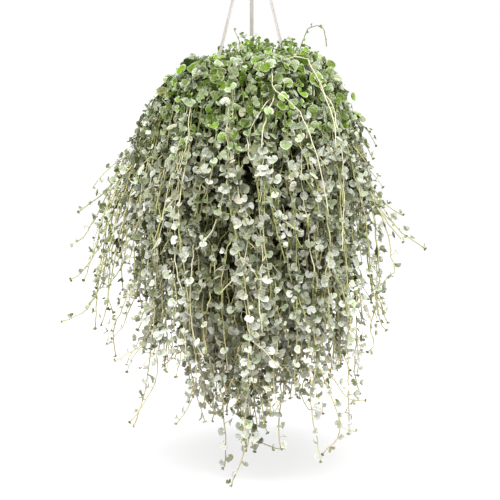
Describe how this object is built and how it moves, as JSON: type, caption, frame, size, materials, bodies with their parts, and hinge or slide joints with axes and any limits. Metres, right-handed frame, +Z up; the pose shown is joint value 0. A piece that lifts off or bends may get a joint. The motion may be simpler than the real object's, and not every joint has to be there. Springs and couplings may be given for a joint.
{
  "type": "potted silver ponyfoot",
  "caption": "Trailing silver ponyfoot in a round hanging pot: a leafy crown and long leafy stems over the rim, hung by a hook and flat strips.",
  "frame": {"origin": "top of the inside of the hook, where it bears on what it hangs from", "axes": "+Z up along the pot's axis, +Y away from the front view, +X to its right"},
  "size_m": [0.5573, 0.3777, 0.8893],
  "materials": {
    "hanger_plastic": "satin",
    "pot_plastic": "satin",
    "peat": "matte",
    "crown_foliage": "matte",
    "trailing_foliage": "matte"
  },
  "bodies": {
    "root": {"hanger": "hanger_plastic", "pot": "pot_plastic", "soil": "peat", "crown": "crown_foliage", "tress_01": "trailing_foliage", "tress_02": "trailing_foliage", "tress_03": "trailing_foliage", "tress_04": "trailing_foliage", "tress_05": "trailing_foliage", "tress_06": "trailing_foliage", "tress_07": "trailing_foliage", "tress_08": "trailing_foliage", "tress_09": "trailing_foliage", "tress_10": "trailing_foliage", "tress_11": "trailing_foliage", "tress_12": "trailing_foliage", "tress_13": "trailing_foliage", "tress_14": "trailing_foliage", "tress_15": "trailing_foliage", "tress_16": "trailing_foliage", "tress_17": "trailing_foliage", "tress_18": "trailing_foliage", "tress_19": "trailing_foliage", "tress_20": "trailing_foliage", "tress_21": "trailing_foliage", "tress_22": "trailing_foliage", "tress_23": "trailing_foliage", "tress_24": "trailing_foliage", "tress_25": "trailing_foliage", "tress_26": "trailing_foliage", "tress_27": "trailing_foliage"}
  },
  "joints": []
}
